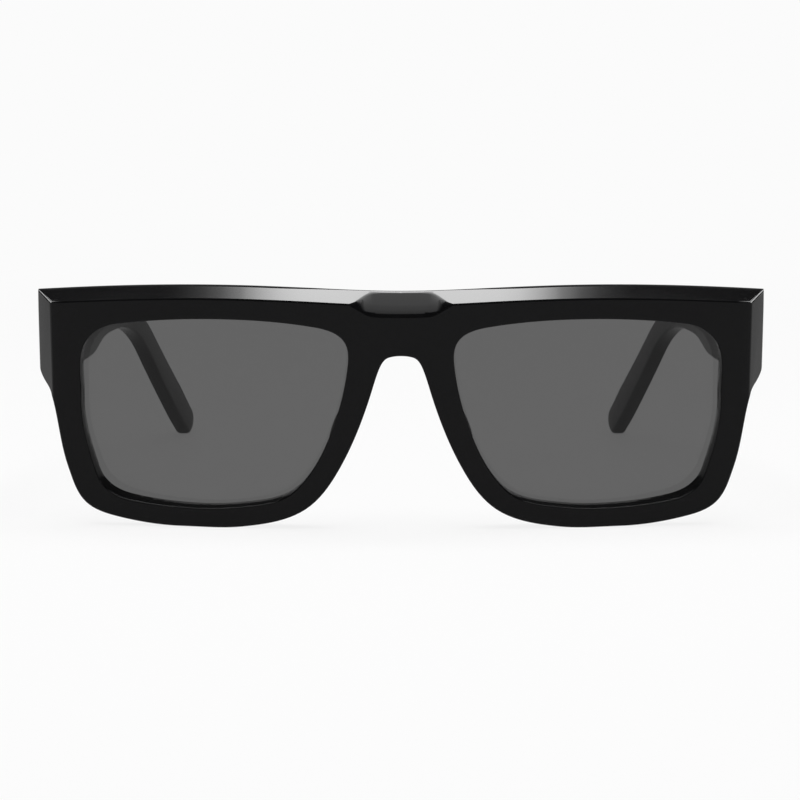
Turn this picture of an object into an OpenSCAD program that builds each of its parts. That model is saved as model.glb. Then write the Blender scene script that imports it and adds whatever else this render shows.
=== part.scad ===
// Rectangular acetate sunglasses: a thick flat-top front with two tinted lenses, and two
// temples that fold on five-barrel hinges. Millimetres. The glasses stand as on a table,
// on the feet of the rims and on both temple tips. +Z is up, the lenses face -Y, and +X
// is the wearer's left.

/* [Lenses] */
// Width of a lens opening
lens_w = 54.2; // [50:0.1:58]
// Height of a lens opening
lens_h = 39.7; // [36:0.1:43]
// Thickness of a lens
lens_t = 2; // [1.8:0.1:2.4]
// Radius of the ball that a lens is cut from
lens_r = 130; // [110:1:180]
// Depth of a lens edge behind the front face
lens_depth = 2.3; // [2:0.1:3.2]
// How far a lens reaches into the groove round its opening
groove = 0.8; // [0.5:0.05:0.9]
// How much lower the lip behind a lens is than the lip before it
lip_drop = 0.4; // [0.2:0.05:0.45]

/* [Front] */
// Gap between the two lens openings, over the nose
bridge_w = 20.6; // [18:0.1:24]
// Thickness of the acetate sheet
front_t = 6.5; // [6.2:0.1:7.5]
// Radius of the bow that the sheet is bent to, seen from above
front_r = 300; // [260:5:400]
// Angle that the front leans forward at its top
lean = 10; // [6:0.5:13]
// Width of the rim under a lens
rim_low = 4.1; // [3.5:0.1:5]
// Width of the brow over a lens, up to its ridge
rim_brow = 6; // [5:0.1:7.5]
// Width from a lens opening to the outer side of the end piece
end_w = 8.7; // [8.4:0.1:10]
// Height of an end piece, from its underside to the highest place of the brow
end_h = 21.5; // [19:0.1:23.5]
// Drop of the brow from its highest place to the end pieces
brow_drop = 2.8; // [1.5:0.1:3.5]
// Drop of the brow from its highest place to the middle
brow_dip = 0.8; // [0.2:0.1:1.5]

/* [Bevels] */
// Depth of the bevel along the brow
bevel_depth = 5; // [4:0.1:5.8]
// Height of the bevel along the brow
bevel_rise = 1.7; // [1:0.1:2.5]
// Width of the flat on the outer side of an end piece
flank_w = 3; // [2:0.1:3.5]
// Depth of the flat on the outer side of an end piece
flank_depth = 4.5; // [3:0.1:5.5]
// Height of the scoop over the nose, on the front face
scoop_h = 2.5; // [1.5:0.1:3]
// Half the width of the scoop at its bottom
scoop_half = 4.5; // [3:0.1:6]
// Steepness of the scoop, from level
scoop_angle = 42; // [35:1:50]

/* [Nose] */
// Height from the nose arch to the highest place of the brow
bridge_h = 13; // [12:0.1:16]
// Height of a nose pad's middle over the foot of the rims
pad_up = 20; // [17:0.5:22]
// Length of a nose pad
pad_len = 14; // [10:0.5:16]
// Width of a nose pad
pad_w = 4; // [3.4:0.1:4.2]
// How far a nose pad stands out behind the front
pad_out = 3.8; // [2.5:0.1:4.5]

/* [Temples] */
// Distance from the foot of the rims back to the face that the temples butt on
joint_y = 11; // [10.5:0.1:12.5]
// Height of a temple where it meets the front
temple_h = 17.1; // [16:0.1:18]
// Drop from the highest place of the brow to the top of a temple there
temple_drop = 2.9; // [2.5:0.1:3.5]
// Thickness of a temple at the hinge
temple_t = 4.35; // [4:0.05:4.6]
// Thickness of a temple at the ear
ear_t = 3.2; // [3:0.1:4.2]
// Distance from the foot of the rims back to where the ear piece starts to bend down
bend_y = 83; // [70:0.5:92]
// Drop from the highest place of the brow to the middle of a temple's waist
waist_drop = 15.6; // [13:0.1:18]
// Height of a temple at its waist
waist_h = 4.8; // [4.4:0.1:7]
// Radius of the bend over the ear
bend_r = 49; // [42:0.5:58]
// Angle that the ear piece ends up pointing down by
ear_drop = 35; // [32:0.5:42]
// Height of the ear piece at its tip
tip_h = 6.6; // [5.5:0.1:9]
// Distance that a temple curves inwards by its tip
tip_in = 18.6; // [8:0.1:20]
// Gap between a temple and the front when open
butt_gap = 0.1; // [0.05:0.01:0.2]

/* [Hinges] */
// Diameter of a hinge barrel
barrel_d = 3; // [2.8:0.1:3.2]
// Height of one barrel
barrel_h = 1.5; // [1.2:0.1:1.8]
// Gap between neighbouring barrels
barrel_gap = 0.05; // [0.03:0.01:0.08]
// Gap between the barrels and the inner face of a temple
barrel_clear = 0.25; // [0.2:0.01:0.4]
// Drop from the highest place of the brow to the middle of a hinge
hinge_drop = 10.9; // [10:0.1:12]
// Diameter of the hinge screw
screw_d = 1.4; // [1.2:0.1:1.6]
// Radial gap between the screw and the barrels
screw_clear = 0.03; // [0.02:0.01:0.05]
// Diameter of the screw head
head_d = 2.2; // [2:0.1:2.4]
// Height of the screw head
head_h = 0.7; // [0.5:0.05:0.9]
// Width of the screwdriver slot
slot_w = 0.4; // [0.3:0.05:0.5]
// Depth of the screwdriver slot
slot_depth = 0.3; // [0.2:0.05:0.4]
// Width of the anchor that a front leaf has in the acetate
anchor_w = 2; // [1.6:0.1:2]
// Depth that the anchor is sunk into the acetate
anchor_sunk = 3.4; // [2.4:0.1:3.6]
// Length of the plate let into a temple
plate_len = 8; // [6:0.5:11]
// Thickness of that plate
plate_t = 1.2; // [0.8:0.1:1.4]
// Height of the wire core inside a temple
core_h = 2.2; // [1.4:0.1:2.6]
// Thickness of the wire core
core_t = 1; // [0.8:0.1:1.2]
// Gap between the plate of a hinge and the wire core
core_gap = 1; // [0.8:0.1:2]

/* [Fits] */
// Gap round each piece that is set into the acetate
seat_gap = 0.05; // [0.03:0.01:0.08]

/* [Hidden] */

acetate = "#161616";
tint = "#4a4c4eB0";
nickel_silver = "#b9b6ab";
steel = "#8d9095";

// A margin by which cutting shapes pass the faces that they cut
over = 1;

// --- curves ---
// One stretch between two anchors. An anchor is [x, y, heading in degrees], and a stretch
// between two anchors on one circle follows that circle.
function turn(a, b) = let (d = (b[2] - a[2] + 540) % 360 - 180) d;
function reach(a, b) = let (h = abs(turn(a, b)), c = norm([b[0] - a[0], b[1] - a[1]]))
  h < 0.1 ? c / 3 : c * 4 / 3 * tan(h / 4) / (2 * sin(h / 2));
function ahead(a, r) = [a[0] + r * cos(a[2]), a[1] + r * sin(a[2])];
function place(a) = [a[0], a[1]];
function bezier(p, q, r, s, t) =
  pow(1 - t, 3) * p + 3 * pow(1 - t, 2) * t * q + 3 * (1 - t) * t * t * r + pow(t, 3) * s;
function stretch(a, b, n) = let (r = reach(a, b))
  [for (i = [0 : n - 1]) bezier(place(a), ahead(a, r), ahead(b, -r), place(b), i / n)];
function open_curve(anchors, n) = concat(
  [for (i = [0 : len(anchors) - 2]) each stretch(anchors[i], anchors[i + 1], n)],
  [place(anchors[len(anchors) - 1])]);
function closed_curve(anchors, n) =
  [for (i = [0 : len(anchors) - 1]) each stretch(anchors[i], anchors[(i + 1) % len(anchors)], n)];
function mirrored(points) = [for (i = [len(points) - 1 : -1 : 0]) [-points[i][0], points[i][1]]];
// A closed outline moved outwards by d, for points listed anticlockwise
function grown(points, d) = let (n = len(points)) [for (i = [0 : n - 1])
  let (along = points[(i + 1) % n] - points[(i + n - 1) % n]) points[i] + d * [along[1], -along[0]] / norm(along)];
// Distance that a ball or bow of radius r falls back at x from its middle
function sag(r, x) = r - sqrt(r * r - x * x);

// --- the lens opening ---
// Drawn from its middle, with the temple side positive, and its lowest place at 0
opening_drawn_w = 54.1;
opening_drawn_h = 39.7;
opening_anchors = [
  [27.1, 21.7, 93], [25.6, 34.2, 126], [19.7, 37.8, 170], [-3.4, 39.7, 180], [-20.1, 38.5, 189],
  [-26.5, 35, 246], [-26.9, 30.8, 276], [-23.7, 17.2, 290], [-16.4, 4.5, 315], [-4.3, 0.5, 352],
  [4, 0, 0], [18, 1.1, 10], [24.4, 6.4, 73]
];
opening = [for (p = closed_curve(opening_anchors, 6))
  [p[0] * lens_w / opening_drawn_w, p[1] * lens_h / opening_drawn_h + rim_low]];
lens_mid = bridge_w / 2 + lens_w / 2;
lens_turn = asin(lens_mid / front_r);
lens_mid_up = rim_low + lens_h / 2;
// How far the middle of a lens lies behind the front face, so that its edge is at lens_depth
lens_front = lens_depth - sag(lens_r, lens_w / 2) + sag(front_r, lens_w / 2);

// --- the front's outline ---
// Drawn in the plane of the front, x from the middle, y up from the foot of the rims
end_x = lens_mid + lens_w / 2 + end_w - 0.1;
brow_top = rim_low + lens_h + rim_brow;
end_low = brow_top - end_h;
arch_h = brow_top - bridge_h;
rise = lens_h / opening_drawn_h;
// High enough for any shape that cuts through the whole glasses
tall = 2 * brow_top;
arch_anchors = [[0, arch_h, 0], [2.3, arch_h - 0.3, -16], [4.4, arch_h - 2.9, -69]];
rim_anchors = [
  [6.1, 28.5 * rise, -73], [12.1, 13.5 * rise, -62], [lens_mid - 17.1, 3.7, -30], [lens_mid - 5.4, 0.4, -8],
  [lens_mid + 6.6, 0, -1], [lens_mid + 19.7, 1.2, 11], [end_x - 8.6, 4.5, 50],
  [end_x - 5.7, 11.1 * rise, 72], [end_x - 2.6, end_low - 1.8, 75]
];
end_anchors = [
  [end_x - 1.5, end_low - 0.2, 42], [end_x, end_low + 2.6, 88], [end_x - 0.2, brow_top, 91]
];
brow_anchors = [
  [0, brow_top - brow_dip, 0], [15, brow_top - brow_dip / 2, 2.5], [32, brow_top, 0],
  [end_x, brow_top - brow_drop, -7.2]
];
low_half = open_curve(concat(arch_anchors, rim_anchors, end_anchors), 6);
brow_half = open_curve(brow_anchors, 10);
// Lowest height of the outline when the front leans, which puts the rims on the table
foot = min([for (p = low_half) p[1] * cos(lean) + sag(front_r, p[0]) * sin(lean)]);
// Depth of the ridge of the brow, and the slopes before and behind it
bevel_angle = atan(bevel_rise / bevel_depth);
fall_angle = 20;

// --- the scoop over the nose ---
scoop_low = brow_top - brow_dip - bevel_rise - scoop_h;
scoop_anchors = [
  [0, scoop_low, 0], [scoop_half, scoop_low + 0.15, 3], [scoop_half + 2, scoop_low + 0.65, 25],
  [scoop_half + 4.5, scoop_low + 2.15, 32], [scoop_half + 7, scoop_low + 3.7, 32]
];

// --- the temple, seen from the side and from above ---
temple_y = joint_y + butt_gap;
temple_top = brow_top - temple_drop;
temple_low = temple_top - temple_h;
waist_z = brow_top - waist_drop;
waist_low = waist_z - waist_h / 2;
waist_top = waist_z + waist_h / 2;
bend_end = [bend_y + bend_r * sin(ear_drop), waist_z - bend_r * (1 - cos(ear_drop))];
ear_straight = (bend_end[1] - tip_h / 2) / sin(ear_drop);
ear_bent = bend_r * ear_drop * PI / 180;
tip = bend_end + ear_straight * [cos(ear_drop), -sin(ear_drop)];
// Middle line of the ear piece at a share f of its length, as [place, angle down, half height]
function ear_at(f) = let (
    s = f * (ear_bent + ear_straight),
    a = min(s / bend_r * 180 / PI, ear_drop),
    rest = max(s - ear_bent, 0),
    half = (waist_h + f * (tip_h - waist_h)) / 2)
  [[bend_y + bend_r * sin(a) + rest * cos(a), waist_z - bend_r * (1 - cos(a)) - rest * sin(a)], a, half];
function beside(e, side) = e[0] + side * e[2] * [sin(e[1]), cos(e[1])];
ear_steps = 12;
temple_low_anchors = [
  [temple_y, temple_low, -2], [35, temple_low - 0.7, -2], [bend_y - 26, temple_low - 0.9, 3],
  [bend_y - 15, waist_low - 0.6, 9], [bend_y - 1, waist_low, 0]
];
temple_top_anchors = [
  [temple_y, temple_top, -1], [35, temple_top - 1.6, -6],
  [bend_y - 24, waist_top + 4.1, -13], [bend_y - 1, waist_top, 0]
];
tip_round = [for (a = [-90 + 15 : 15 : 90 - 15]) tip + tip_h / 2 * [cos(a - ear_drop), sin(a - ear_drop)]];
temple_side = concat(
  open_curve(temple_low_anchors, 5),
  [for (i = [0 : ear_steps]) beside(ear_at(i / ear_steps), -1)],
  tip_round,
  [for (i = [ear_steps : -1 : 0]) beside(ear_at(i / ear_steps), 1)],
  [for (i = [len(open_curve(temple_top_anchors, 5)) - 1 : -1 : 0]) open_curve(temple_top_anchors, 5)[i]]
);
// The inner face runs straight past the hinge plate. It curves in from where the wire core
// starts, most of all near the tip.
inner_x = end_x - temple_t;
axis_y = joint_y + butt_gap / 2;
neck_y = axis_y + 0.3;
core_start = neck_y + plate_len + core_gap;
curve_y = core_start;
curve_power = 1.6;
function inner(y) = inner_x - (y > curve_y ? tip_in * pow((y - curve_y) / (tip[0] - curve_y), curve_power) : 0);
function thick(y) = y < bend_y ? temple_t + (ear_t - temple_t) * (y - temple_y) / (bend_y - temple_y) : ear_t;
plan_ys = concat([temple_y - over, temple_y, curve_y], [for (i = [1 : 16]) curve_y + i / 16 * (tip[0] + tip_h - curve_y)]);
temple_plan = concat(
  [for (y = plan_ys) [inner(y), y]],
  [for (i = [len(plan_ys) - 1 : -1 : 0]) [inner(plan_ys[i]) + thick(plan_ys[i]), plan_ys[i]]]
);

// --- the hinge ---
axis_x = inner_x - barrel_d / 2 - barrel_clear;
barrels = 5;
barrel_step = barrel_h + barrel_gap;
hinge_h = barrels * barrel_h + (barrels - 1) * barrel_gap;
hinge_low = brow_top - hinge_drop - hinge_h / 2;
seat_y = axis_y - barrel_d / 2 - 0.6;
// Inner side of the end piece's return, clear of the lens groove
return_x = lens_mid + lens_w / 2 + groove + 0.9;
neck_t = 1.2;

// --- the whole ---
top_y = -(brow_top - bevel_rise - brow_dip / 2) * sin(lean) + sag(front_r, 15) * cos(lean);
back_y = tip[0] + tip_h / 2;
mid_y = (top_y + back_y) / 2;

module standing() {
  translate([0, -mid_y, 0]) children();
}

module leaning() {
  translate([0, 0, -foot]) rotate([lean, 0, 0]) children();
}

module on_left(left) {
  if (left) children();
  else mirror([1, 0, 0]) children();
}

// An outline in the plane of the front, made solid between two depths
module panel(points, near, far) {
  translate([0, far, 0]) rotate([90, 0, 0]) linear_extrude(far - near) polygon(points);
}

// Everything behind a face bent to the front's bow and lying at a depth
module behind_bow(depth) {
  translate([0, front_r, -over]) cylinder(r = front_r - depth, h = brow_top + 9 * over, $fn = 720);
}

// The half space over a ruled face that starts on a line across the front face and rises
// to the back at an angle
module over_ruled(half, angle) {
  edge = [for (p = half) [p[0], (p[1] - tan(angle) * sag(front_r, p[0])) * cos(angle)]];
  far_x = edge[len(edge) - 1][0] + 10;
  high = brow_top + 40;
  side = concat(edge, [[far_x, edge[len(edge) - 1][1]], [far_x, high]]);
  rotate([angle, 0, 0]) panel(concat(side, mirrored(side)), -40, 60);
}

// --- front_frame ---
module brow_cuts() {
  bevel_line = [for (p = brow_half) [p[0], p[1] - bevel_rise]];
  fall_line = [for (p = brow_half) [p[0], p[1] + bevel_depth * tan(fall_angle)]];
  over_ruled(bevel_line, bevel_angle);
  over_ruled(fall_line, -fall_angle);
  over_ruled(open_curve(scoop_anchors, 5), scoop_angle);
}

module flank_cut() {
  start = end_x - flank_w;
  fall_back = sag(front_r, end_x) + flank_depth - sag(front_r, start);
  translate([start, sag(front_r, start), -over]) rotate([0, 0, -atan(flank_w / fall_back)])
    translate([0, -20, 0]) cube([20, 50, brow_top + 9 * over]);
}

// Places whatever is drawn round a lens axis into the leaning front
module at_lens() {
  translate([lens_mid, sag(front_r, lens_mid), 0]) rotate([0, 0, lens_turn]) children();
}

// The part of a ball that a lens is, made thicker by gap on both faces
module lens_shell(gap) {
  translate([0, lens_front + lens_r, lens_mid_up]) difference() {
    sphere(r = lens_r + gap, $fn = 200);
    sphere(r = lens_r - lens_t - gap, $fn = 200);
  }
}

module lens_space() {
  at_lens() {
    panel(opening, -8, 20);
    intersection() {
      panel(grown(opening, groove), -2, 20);
      lens_shell(seat_gap);
    }
    intersection() {
      panel(grown(opening, lip_drop), -2, 20);
      translate([0, lens_front + lens_r, lens_mid_up]) sphere(r = lens_r - lens_t / 2, $fn = 200);
    }
  }
}

module front_sheet() {
  outline = concat(low_half, [[end_x - 0.2, brow_top + 6]]);
  difference() {
    intersection() {
      panel(concat(outline, mirrored(outline)), -2, 30);
      behind_bow(0);
    }
    intersection() {
      behind_bow(front_t);
      union() {
        translate([-return_x, -over, -2 * over]) cube([2 * return_x, 60, brow_top + 12 * over]);
        translate([-end_x - over, -over, -2 * over]) cube([2 * end_x + 2 * over, 60, end_low + 2 * over]);
      }
    }
    brow_cuts();
    for (left = [true, false]) on_left(left) {
      flank_cut();
      lens_space();
    }
  }
}

module front_frame() {
  color(acetate) difference() {
    leaning() front_sheet();
    translate([-end_x - over, joint_y, -over]) cube([2 * end_x + 2 * over, 40, 70]);
    translate([-inner_x, seat_y, -over]) cube([2 * inner_x, 40, 70]);
    for (left = [true, false]) on_left(left) anchor(seat_gap);
  }
}

// --- lens_left and lens_right ---
module lens(left) {
  color(tint) leaning() on_left(left) at_lens() intersection() {
    panel(grown(opening, groove - seat_gap), -2, 20);
    lens_shell(0);
  }
}

// --- nose_pad_left and nose_pad_right ---
// A low dome on the back of the rim, cut to the bow of the sheet and leaning off the nose
module nose_pad(left) {
  pad_slant = 21;
  pad_x = bridge_w / 2 + 1.2;
  back = sag(front_r, pad_x) + front_t;
  ball_r = (pow(pad_len / 2, 2) + pow(pad_out, 2)) / (2 * pad_out) + 0.6;
  pad_anchors = [
    [pad_w / 2, 0, 90], [0, pad_len / 2, 180], [-pad_w / 2, 0, 270], [0, -pad_len / 2, 0]
  ];
  color(acetate) leaning() on_left(left) intersection() {
    behind_bow(front_t);
    translate([pad_x, 0, pad_up]) rotate([0, -pad_slant, 0]) {
      intersection() {
        panel(closed_curve(pad_anchors, 6), 0, back + 2 * pad_out);
        translate([1.2, back + pad_out - ball_r, 0]) sphere(r = ball_r, $fn = 96);
      }
    }
  }
}

// --- temple_left and temple_right ---
module side_solid(points, low_x, high_x) {
  translate([low_x, 0, 0]) rotate([90, 0, 90]) linear_extrude(high_x - low_x) polygon(points);
}

module temple(left) {
  color(acetate) on_left(left) difference() {
    intersection() {
      side_solid(temple_side, 0, end_x + over);
      linear_extrude(tall) polygon(temple_plan);
    }
    plate(seat_gap);
    core(seat_gap);
  }
}

// --- core_wire_left and core_wire_right ---
// A flat wire along the middle of the temple, from behind the hinge plate into the ear piece
core_end = 0.85;
core_anchors = [[core_start, temple_top - temple_h / 2, -1], [bend_y - 24, waist_z + 1.2, -6], [bend_y, waist_z, 0]];
core_line = concat(
  [for (p = open_curve(core_anchors, 5)) [p, 0]],
  [for (i = [1 : ear_steps]) let (e = ear_at(core_end * i / ear_steps)) [e[0], e[1]]]
);
module core(gap) {
  half = core_h / 2 + gap;
  n = len(core_line);
  low = [for (c = core_line) c[0] - half * [sin(c[1]), cos(c[1])]];
  high = [for (i = [n - 1 : -1 : 0]) core_line[i][0] + half * [sin(core_line[i][1]), cos(core_line[i][1])]];
  ys = [for (y = plan_ys) if (y > temple_y) y];
  near = [for (y = ys) [inner(y) + thick(y) / 2 - core_t / 2 - gap, y]];
  far = [for (i = [len(ys) - 1 : -1 : 0]) let (y = ys[i]) [inner(y) + thick(y) / 2 + core_t / 2 + gap, y]];
  intersection() {
    side_solid(concat(low, high), 0, end_x);
    linear_extrude(tall) polygon(concat(near, far));
  }
}

module core_wire(left) {
  color(nickel_silver) on_left(left) core(0);
}

// --- hinges ---
module barrel(i) {
  translate([axis_x, axis_y, hinge_low + i * barrel_step]) cylinder(d = barrel_d, h = barrel_h, $fn = 64);
}

// The block that holds a front leaf in the acetate
module anchor(gap) {
  half = anchor_w / 2 + gap;
  translate([axis_x - half, seat_y - anchor_sunk - gap, hinge_low - gap])
    cube([2 * half, anchor_sunk + 2 * gap, hinge_h + 2 * gap]);
}

// The plate that holds a temple leaf, let in flush with the inner face and open to the butt
module plate(gap) {
  start = gap > 0 ? temple_y - over : neck_y;
  translate([inner_x - gap, start, hinge_low - gap])
    cube([plate_t + 2 * gap, neck_y + plate_len + gap - start, hinge_h + 2 * gap]);
}

module screw_space() {
  translate([axis_x, axis_y, hinge_low - over])
    cylinder(d = screw_d + 2 * screw_clear, h = hinge_h + 2 * over, $fn = 48);
  translate([axis_x, axis_y, hinge_low + hinge_h - head_h - seat_gap])
    cylinder(d = head_d + 2 * screw_clear, h = head_h + over, $fn = 48);
}

module hinge_front_leaf(left) {
  color(nickel_silver) on_left(left) difference() {
    union() {
      anchor(0);
      for (i = [0, 2, 4]) {
        barrel(i);
        translate([axis_x - anchor_w / 2, seat_y - 0.5, hinge_low + i * barrel_step])
          cube([anchor_w, axis_y - seat_y + 0.5, barrel_h]);
      }
    }
    screw_space();
  }
}

module hinge_temple_leaf(left) {
  color(nickel_silver) on_left(left) difference() {
    union() {
      plate(0);
      for (i = [1, 3]) {
        barrel(i);
        translate([axis_x, neck_y, hinge_low + i * barrel_step])
          cube([inner_x + plate_t / 2 - axis_x, neck_t, barrel_h]);
      }
    }
    screw_space();
  }
}

module hinge_screw(left) {
  color(steel) on_left(left) translate([axis_x, axis_y, hinge_low]) difference() {
    union() {
      cylinder(d = screw_d, h = hinge_h - head_h / 2, $fn = 48);
      translate([0, 0, hinge_h - head_h]) cylinder(d = head_d, h = head_h, $fn = 48);
    }
    translate([-head_d, -slot_w / 2, hinge_h - slot_depth]) cube([2 * head_d, slot_w, slot_depth + over]);
  }
}

standing() front_frame();
standing() lens(true);  // lens_left
standing() lens(false);  // lens_right
standing() nose_pad(true);  // nose_pad_left
standing() nose_pad(false);  // nose_pad_right
standing() temple(true);  // temple_left
standing() temple(false);  // temple_right
standing() core_wire(true);  // core_wire_left
standing() core_wire(false);  // core_wire_right
standing() hinge_front_leaf(true);  // hinge_front_leaf_left
standing() hinge_front_leaf(false);  // hinge_front_leaf_right
standing() hinge_temple_leaf(true);  // hinge_temple_leaf_left
standing() hinge_temple_leaf(false);  // hinge_temple_leaf_right
standing() hinge_screw(true);  // hinge_screw_left
standing() hinge_screw(false);  // hinge_screw_right
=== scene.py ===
import math

import bpy
import numpy as np
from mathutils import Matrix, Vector


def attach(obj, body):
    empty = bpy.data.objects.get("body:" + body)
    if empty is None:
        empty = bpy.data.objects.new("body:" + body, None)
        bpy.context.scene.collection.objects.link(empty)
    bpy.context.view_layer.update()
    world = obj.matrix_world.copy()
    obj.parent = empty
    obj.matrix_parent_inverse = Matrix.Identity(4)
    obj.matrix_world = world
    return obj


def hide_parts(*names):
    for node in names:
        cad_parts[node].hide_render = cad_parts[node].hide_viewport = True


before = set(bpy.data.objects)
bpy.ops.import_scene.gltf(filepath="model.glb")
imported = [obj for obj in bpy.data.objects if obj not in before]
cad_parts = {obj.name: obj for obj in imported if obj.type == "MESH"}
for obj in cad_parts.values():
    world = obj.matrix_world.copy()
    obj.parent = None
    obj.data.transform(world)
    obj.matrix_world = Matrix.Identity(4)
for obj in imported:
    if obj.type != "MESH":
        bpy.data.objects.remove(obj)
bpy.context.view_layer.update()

MM = 0.001

# The glasses stand open on a white table. The front is made upright, x across, y back and z up
# from the foot of the rims. It is then bent to its bow and leant back. Left is +x, as worn.

# ---------------------------------------------------------------- sizes, in millimetres and degrees
# Lenses: width, height, thickness, radius of the ball, depth of their edge behind the face
LENS_W, LENS_H, LENS_T, LENS_R, LENS_DEPTH = 54.2, 39.7, 2.0, 130.0, 2.3
# Front: bridge, thickness of the sheet, radius of the bow, lean
BRIDGE_W, FRONT_T, FRONT_R, LEAN = 20.6, 6.5, 300.0, 10.0
# Rims: under and over the opening. End pieces: beside it, what they are trimmed by, and their foot
RIM_LOW, RIM_BROW, END_W, END_TRIM, END_LOW = 4.1, 6.0, 8.7, 0.1, 28.3
# Brow: its drop towards the ends, its dip over the bridge and its slope at the ends
BROW_DROP, BROW_DIP, BROW_SLOPE = 2.8, 0.8, 7.0
# Top of the brow: depth and rise of the bevel in front, and the fall behind the ridge
BEVEL_DEPTH, BEVEL_RISE, FALL = 5.0, 1.7, 20.0
# Flats on the outer sides of the end pieces, seen from the front and from the side
FLANK_W, FLANK_DEPTH = 3.0, 4.5
# Scoop over the bridge: height, half its width and how steep it is
SCOOP_H, SCOOP_HALF, SCOOP_ANGLE = 2.5, 4.5, 42.0
# Nose: height of the arch, and the pads' height, length, width, depth and slant
ARCH_H, PAD_UP, PAD_LEN, PAD_W, PAD_OUT, PAD_SLANT = 36.8, 20.0, 14.0, 4.0, 3.8, 21.0
# How far the pads sit outside the bridge, and how far their base stands off the back
PAD_ASIDE, PAD_OFF = 1.2, 0.1
# Where the temples butt against the end pieces, and the gap there
JOINT_Y, BUTT = 11.0, 0.1
# Temples: height and foot at the hinge, thickness there and at the ear
TEMPLE_H, TEMPLE_LOW, TEMPLE_T, EAR_T = 17.1, 29.8, 4.35, 3.2
# Ear pieces: start, height and width of the waist, radius and turn of the bend
BEND_Y, WAIST_Z, WAIST_H, BEND_R, EAR_DROP = 83.0, 34.2, 4.8, 49.0, 35.0
# Tips: height, how far they curve in, and how late
TIP_H, TIP_IN, CURVE_POWER = 6.6, 18.6, 1.6
# Hinges: middle, height, barrels, their gap to the temple, and the gap round what is let in
HINGE_Z, HINGE_H, BARREL_D, BARREL_GAP, SEAT_GAP = 38.9, 7.7, 3.0, 0.25, 0.05
# Hinge plates and anchors, and the gap between a plate and the core wire
PLATE_LEN, PLATE_T, ANCHOR_W, ANCHOR_SUNK, CORE_GAP = 8.0, 1.2, 2.0, 3.4, 1.0
# Roundings that the eye sees and the sizes above leave out, and the flare behind the lenses
RIM_EASE, EDGE_EASE, FLANK_EASE, MITRE_EASE, BACK_EASE, TEMPLE_EASE = 0.4, 0.65, 1.6, 0.8, 0.5, 0.6
FLARE, FLARE_LEN = 25.0, 4
# Ridge of the brow, and where the scoop meets the bevel: radius in the middle, how much wider it
# gets, and between which places across the front
RIDGE_EASE, RIDGE_WIDER, RIDGE_SPREAD = 0.9, 2.8, (8, 26)
MEETING_EASE, MEETING_WIDER, MEETING_SPREAD = 0.4, 3, (3, 7)
# Flat cuts that round the edges of the brow and the scoop, by their angles
BEVEL_FOOT_CUTS, RIDGE_CUTS, BACK_CUTS = (50, 66, 80), (14, 7, 0, -8, -14), (-55,)
SCOOP_TOP_CUTS, SCOOP_FOOT_CUTS = (34, 29, 24), (62, 76)
# How far the returns start outside the openings, the hinge seats lie before the barrels, and the
# hinge plates start behind the joint
RETURN_OUT, SEAT_BEFORE, PLATE_START = 1.7, 0.6, 0.3

LENS_MID = BRIDGE_W / 2 + LENS_W / 2
LENS_TURN = math.asin(LENS_MID / FRONT_R)
END_X = LENS_MID + LENS_W / 2 + END_W - END_TRIM
BROW_TOP = RIM_LOW + LENS_H + RIM_BROW
# What lies inside the outline and below this is the wall of an opening
OPENINGS_TOP = BROW_TOP - 3
INNER_X = END_X - TEMPLE_T
AXIS_X = INNER_X - BARREL_D / 2 - BARREL_GAP
RETURN_X = LENS_MID + LENS_W / 2 + RETURN_OUT
SEAT_Y = JOINT_Y + BUTT / 2 - BARREL_D / 2 - SEAT_BEFORE
PLATE_END = JOINT_Y + BUTT / 2 + PLATE_START + PLATE_LEN
CURVE_Y = PLATE_END + CORE_GAP
BEVEL_STEEP = BEVEL_RISE / BEVEL_DEPTH
BEVEL_ANGLE = math.degrees(math.atan(BEVEL_STEEP))

# The blank that the front is cut from: thickness, height over the brow, and the strips that bend
# with it, with the place of the outer ones in the blank and in the cutter behind it
BLANK_T, BLANK_OVER, STRIP, OUTER_STRIP, OUTER_BACK_STRIP = 26.0, 6, 2.0, 72, 64
# Points nearer than this are one, and the size of a primitive before it gets its outline
SAME, START_R = 0.002, 10 * MM
# How far cutters reach: aside, back, up and down past the front, and out over a ruled face, and
# how far they start outside what they cut
PAST_SIDE, PAST_BACK, PAST_TOP, PAST_FOOT, PAST_RULED, CLEAR = 80, 60, 70, -5, 40, 1

# ---------------------------------------------------------------- curves
def sag(x, r=FRONT_R):
    """How far a bow or ball of radius r falls back at x from its middle."""
    return r - math.sqrt(r * r - x * x)


def turn(a, b):
    """Change of heading between two anchors."""
    return (b[2] - a[-1] + 540) % 360 - 180


def reach(a, b):
    """Length of the handles of the stretch between two anchors [x, y, heading]."""
    h, c = abs(turn(a, b)), math.dist(a[:2], b[:2])
    if h < 0.1:
        return c / 3
    return c * 2 / 3 * math.tan(math.radians(h / 4)) / math.sin(math.radians(h / 2))


def ahead(a, heading, r):
    """The point at a distance r from an anchor, along a heading."""
    return a[0] + r * math.cos(math.radians(heading)), a[1] + r * math.sin(math.radians(heading))


def along(anchors, n):
    """Points on an open chain of anchors, n to a stretch."""
    points = []
    for a, b in zip(anchors, anchors[1:]):
        r = reach(a, b)
        start, end = np.array(a[:2]), np.array(b[:2])
        leaving, arriving = np.array(ahead(a, a[-1], r)), np.array(ahead(b, b[2], -r))
        for i in range(n):
            t = i / n
            u = 1 - t
            points.append(u ** 3 * start + 3 * u ** 2 * t * leaving + 3 * u * t * t * arriving
                          + t ** 3 * end)
    points.append(np.array(anchors[-1][:2]))
    return [tuple(p) for p in points]


def round_ring(anchors, n):
    """Points round a closed ring of anchors, n to a stretch."""
    return along(anchors + [anchors[0]], n)[:-1]


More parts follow.
